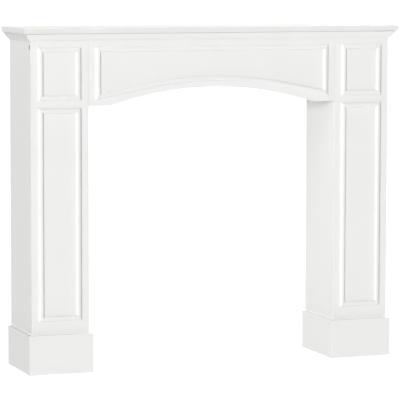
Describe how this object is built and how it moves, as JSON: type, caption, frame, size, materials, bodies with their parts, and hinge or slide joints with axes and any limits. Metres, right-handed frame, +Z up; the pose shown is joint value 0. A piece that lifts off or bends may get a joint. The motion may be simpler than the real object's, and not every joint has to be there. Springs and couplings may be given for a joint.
{
  "type": "fireplace mantelpiece",
  "caption": "White painted fireplace surround: panelled legs on plinths, an arched panelled header, and a shelf over a small cornice.",
  "frame": {"origin": "on the floor, in the middle of the overall width and depth", "axes": "+X to the right along the wall as seen from the room, +Y towards the wall, +Z up"},
  "size_m": [1.2, 0.25, 1.03],
  "materials": {
    "painted_board": "satin white paint on medium-density fibreboard",
    "painted_moulding": "satin white paint on moulded fibreboard"
  },
  "bodies": {
    "root": {"shelf_board": "painted_board", "header_board": "painted_board", "left_leg_front_board": "painted_board", "left_leg_outer_board": "painted_board", "left_leg_inner_board": "painted_board", "left_plinth_front": "painted_board", "left_plinth_outer": "painted_board", "left_plinth_inner": "painted_board", "right_leg_front_board": "painted_board", "right_leg_outer_board": "painted_board", "right_leg_inner_board": "painted_board", "right_plinth_front": "painted_board", "right_plinth_outer": "painted_board", "right_plinth_inner": "painted_board", "cornice_front": "painted_moulding", "cornice_left": "painted_moulding", "cornice_right": "painted_moulding", "header_frame_bottom": "painted_moulding", "header_frame_right": "painted_moulding", "header_frame_top": "painted_moulding", "header_frame_left": "painted_moulding", "left_upper_frame_bottom": "painted_moulding", "left_upper_frame_right": "painted_moulding", "left_upper_frame_top": "painted_moulding", "left_upper_frame_left": "painted_moulding", "left_lower_frame_bottom": "painted_moulding", "left_lower_frame_right": "painted_moulding", "left_lower_frame_top": "painted_moulding", "left_lower_frame_left": "painted_moulding", "right_upper_frame_bottom": "painted_moulding", "right_upper_frame_right": "painted_moulding", "right_upper_frame_top": "painted_moulding", "right_upper_frame_left": "painted_moulding", "right_lower_frame_bottom": "painted_moulding", "right_lower_frame_right": "painted_moulding", "right_lower_frame_top": "painted_moulding", "right_lower_frame_left": "painted_moulding"}
  },
  "joints": []
}
